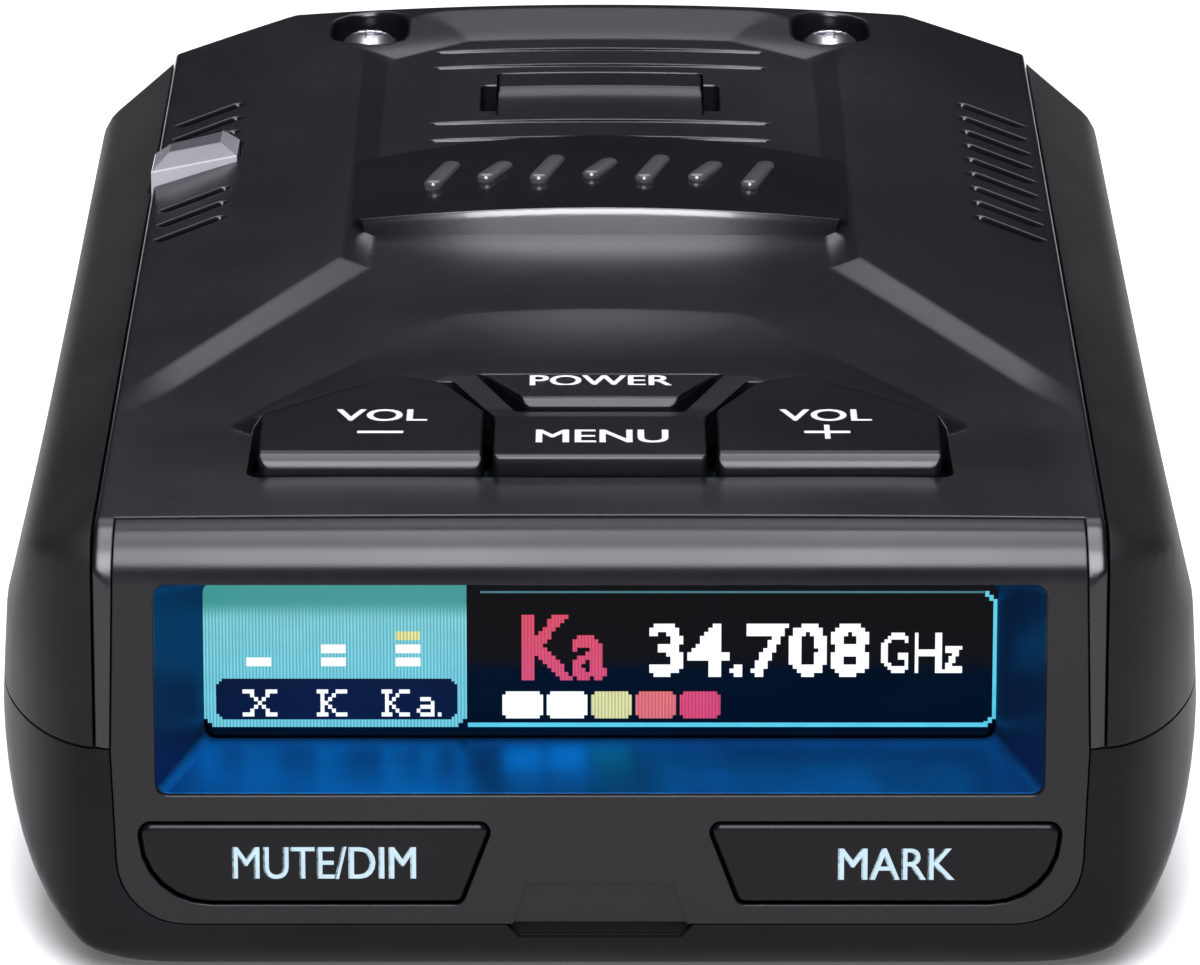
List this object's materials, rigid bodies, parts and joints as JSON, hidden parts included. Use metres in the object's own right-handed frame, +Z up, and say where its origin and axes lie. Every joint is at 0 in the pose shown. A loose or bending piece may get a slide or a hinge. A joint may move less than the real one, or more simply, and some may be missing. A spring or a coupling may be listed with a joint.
{
  "type": "radar detector",
  "caption": "Dashboard radar detector: low black case with a recessed colour display, push keys on the deck and bezel, bracket release button and side sockets.",
  "frame": {"origin": "middle of the flat underside, below the centre of the case", "axes": "+X to the driver's right, +Y forward to the windscreen along the case's length, +Z up; the display faces -Y"},
  "size_m": [0.07, 0.117, 0.0314],
  "materials": {
    "case_plastic": "fine satin moulded texture, near black",
    "side_plastic": "fine matt moulded texture, black",
    "key_plastic": "smooth satin black with pale legends",
    "gloss_black": "polished black",
    "smoked_window": "polished, infrared-clear and dark to the eye",
    "clear_acrylic": "polished clear acrylic",
    "screen": "self-lit colour display",
    "board": "green solder mask",
    "steel": "nickel-plated steel",
    "tin_plate": "satin tin plate",
    "cast_zinc": "as-cast",
    "ceramic": "fired ceramic",
    "ribbon": "polyimide film",
    "paper_cone": "pressed paper",
    "foam": "closed-cell foam"
  },
  "bodies": {
    "housing": {"top_cover": "case_plastic", "left_side_panel": "side_plastic", "right_side_panel": "side_plastic", "lower_case": "case_plastic", "front_bezel": "case_plastic", "antenna_window": "smoked_window", "badge_plate": "gloss_black", "display_shroud": "gloss_black", "display_lens": "gloss_black", "oled_panel": "screen", "oled_frame": "key_plastic", "display_ribbon": "ribbon", "latch_spring": "steel", "main_board": "board", "processor_chip": "gloss_black", "key_board": "board", "front_board": "board", "microwave_board": "board", "horn_antenna": "tin_plate", "rf_shield": "tin_plate", "front_laser_lens": "clear_acrylic", "front_laser_sensor": "gloss_black", "rear_laser_prism": "clear_acrylic", "rear_laser_sensor": "gloss_black", "speaker_basket": "steel", "speaker_cone": "paper_cone", "speaker_gasket": "foam", "power_socket": "key_plastic", "audio_socket": "key_plastic", "usb_socket": "steel", "gps_patch": "ceramic", "volume_up_switch": "steel", "volume_down_switch": "steel", "menu_switch": "steel", "power_switch": "steel", "mark_switch": "steel", "mute_dim_switch": "steel", "case_screw_1": "steel", "case_screw_2": "steel", "case_screw_3": "steel", "case_screw_4": "steel", "left_top_screw": "steel", "right_top_screw": "steel", "board_screw_1": "steel", "board_screw_2": "steel"},
    "volume_up_button": {"volume_up_key": "key_plastic", "volume_up_plunger": "key_plastic"},
    "volume_down_button": {"volume_down_key": "key_plastic", "volume_down_plunger": "key_plastic"},
    "menu_button": {"menu_key": "key_plastic", "menu_plunger": "key_plastic"},
    "power_button": {"power_key": "key_plastic", "power_plunger": "key_plastic"},
    "mark_button": {"mark_key": "key_plastic", "mark_plunger": "key_plastic"},
    "mute_dim_button": {"mute_dim_key": "key_plastic", "mute_dim_plunger": "key_plastic"},
    "release_latch": {"release_button": "case_plastic", "latch_hook": "cast_zinc"}
  },
  "joints": [
    {"name": "volume_up_press", "type": "slide", "parent": "housing", "child": "volume_up_button", "axis": [0, 0, -1], "range_m": [0, 0.00035], "stiffness_N_per_m": 300, "springref_m": -0.001},
    {"name": "volume_down_press", "type": "slide", "parent": "housing", "child": "volume_down_button", "axis": [0, 0, -1], "range_m": [0, 0.00035], "stiffness_N_per_m": 300, "springref_m": -0.001},
    {"name": "menu_press", "type": "slide", "parent": "housing", "child": "menu_button", "axis": [0, 0, -1], "range_m": [0, 0.00035], "stiffness_N_per_m": 300, "springref_m": -0.001},
    {"name": "power_press", "type": "slide", "parent": "housing", "child": "power_button", "axis": [0, 0, -1], "range_m": [0, 0.00035], "stiffness_N_per_m": 300, "springref_m": -0.001},
    {"name": "mark_press", "type": "slide", "parent": "housing", "child": "mark_button", "axis": [0, 1, 0], "range_m": [0, 0.00035], "stiffness_N_per_m": 300, "springref_m": -0.001},
    {"name": "mute_dim_press", "type": "slide", "parent": "housing", "child": "mute_dim_button", "axis": [0, 1, 0], "range_m": [0, 0.00035], "stiffness_N_per_m": 300, "springref_m": -0.001},
    {"name": "release_press", "type": "slide", "parent": "housing", "child": "release_latch", "axis": [0, 0, -1], "range_m": [0, 0.0012], "stiffness_N_per_m": 400, "springref_m": -0.0015, "deforming": ["latch_spring"]}
  ]
}
